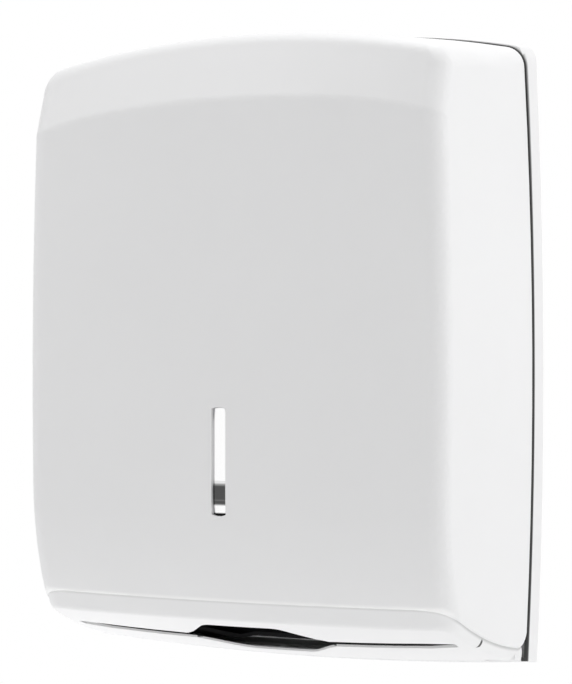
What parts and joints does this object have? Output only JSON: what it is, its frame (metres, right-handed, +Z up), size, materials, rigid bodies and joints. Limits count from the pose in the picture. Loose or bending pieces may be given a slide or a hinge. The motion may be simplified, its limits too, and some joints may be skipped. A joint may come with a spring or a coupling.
{
  "type": "paper towel dispenser",
  "caption": "Wall-hung dispenser for folded paper towels with a bowed drop-down cover, curved delivery slit and finger mouth underneath, viewing slot and cam lock.",
  "frame": {"origin": "middle of the four wall holes, on the face that lies against the wall", "axes": "+X to the right as seen by the user, +Y into the wall, +Z up"},
  "size_m": [0.2818, 0.1398, 0.3736],
  "materials": {
    "cover_plastic": "satin white moulded plastic",
    "plate_plastic": "white moulded plastic",
    "tray_plastic": "dark grey moulded plastic",
    "lens_plastic": "clear polished plastic",
    "screw_steel": "zinc-plated steel",
    "pin_steel": "bright steel",
    "lock_chrome": "chromed die casting",
    "lock_brass": "machined brass"
  },
  "bodies": {
    "base": {"base_plate": "plate_plastic", "towel_cradle": "tray_plastic", "guide_left": "plate_plastic", "guide_right": "plate_plastic", "guide_screws": "screw_steel", "cradle_screws": "screw_steel", "hinge_pin_left": "pin_steel", "hinge_pin_right": "pin_steel", "lock_strike": "pin_steel", "strike_screws": "screw_steel"},
    "cover": {"front_cover": "cover_plastic", "bottom_panel": "cover_plastic", "panel_screws": "screw_steel", "window_lens": "lens_plastic", "lock_body": "lock_chrome", "lock_nut": "lock_brass", "lock_washer": "pin_steel"},
    "lock_rotor": {"lock_plug": "lock_chrome", "lock_cam": "pin_steel", "cam_screw": "screw_steel"}
  },
  "joints": [
    {"name": "cover_hinge", "type": "hinge", "parent": "base", "child": "cover", "pos_m": [0, -0.022, -0.177], "axis": [1, 0, 0], "range_deg": [0, 90]},
    {"name": "lock_turn", "type": "hinge", "parent": "cover", "child": "lock_rotor", "pos_m": [0, -0.033, 0.17], "axis": [0, 0, -1], "range_deg": [0, 90]}
  ]
}
